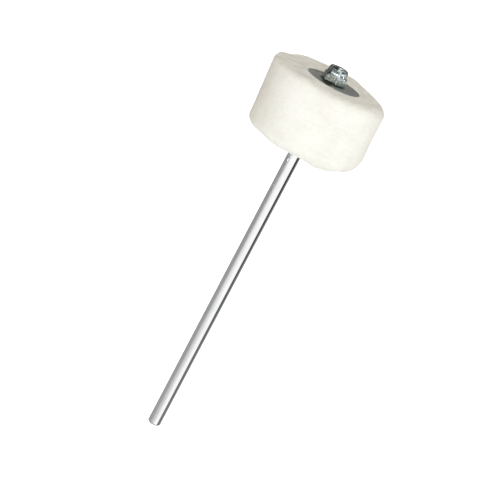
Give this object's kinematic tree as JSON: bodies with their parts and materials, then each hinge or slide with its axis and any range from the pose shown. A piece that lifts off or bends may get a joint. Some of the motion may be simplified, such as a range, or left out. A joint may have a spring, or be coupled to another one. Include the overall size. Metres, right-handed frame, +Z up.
{
  "type": "bass drum beater",
  "caption": "Bass drum pedal beater: a drum-shaped pressed felt head clamped by washers and a self-locking nut on the threaded end of a straight chromed shaft.",
  "frame": {"origin": "Centre of the shaft's lower end, the end that goes into the pedal's hub.", "axes": "+Z runs up the shaft's axis to the head and its lock nut. The head is round about Z, and +X points at a corner of each nut's hexagon."},
  "size_m": [0.0714, 0.0714, 0.244],
  "materials": {
    "chrome_plated_steel": "mirror-bright chrome plate on a turned bar",
    "zinc_plated_steel": "bright zinc plate",
    "dull_zinc_plate": "dull zinc plate on a stamped washer",
    "white_wool_felt": "hard-pressed wool felt, slightly fuzzy",
    "nylon": "natural nylon"
  },
  "bodies": {
    "shaft": {"shaft": "chrome_plated_steel", "jam_nut": "zinc_plated_steel", "lower_washer": "dull_zinc_plate", "upper_washer": "dull_zinc_plate"},
    "head": {"felt_head": "white_wool_felt"},
    "nut_thread": {"lock_nut_insert": "nylon"},
    "nut": {"lock_nut": "zinc_plated_steel"}
  },
  "joints": [
    {"name": "head_turn", "type": "hinge", "parent": "shaft", "child": "head", "pos_m": [0, 0, 0.2125], "axis": [0, 0, 1], "continuous": true},
    {"name": "nut_rise", "type": "slide", "parent": "shaft", "child": "nut_thread", "axis": [0, 0, 1], "range_m": [0, 0.00876]},
    {"name": "nut_turn", "type": "hinge", "parent": "nut_thread", "child": "nut", "pos_m": [0, 0, 0.238], "axis": [0, 0, 1], "range_deg": [0, 2520]}
  ],
  "couplings": [
    {"joint": "nut_rise", "follows": "nut_turn", "m_per_rad": 0.00019894}
  ]
}
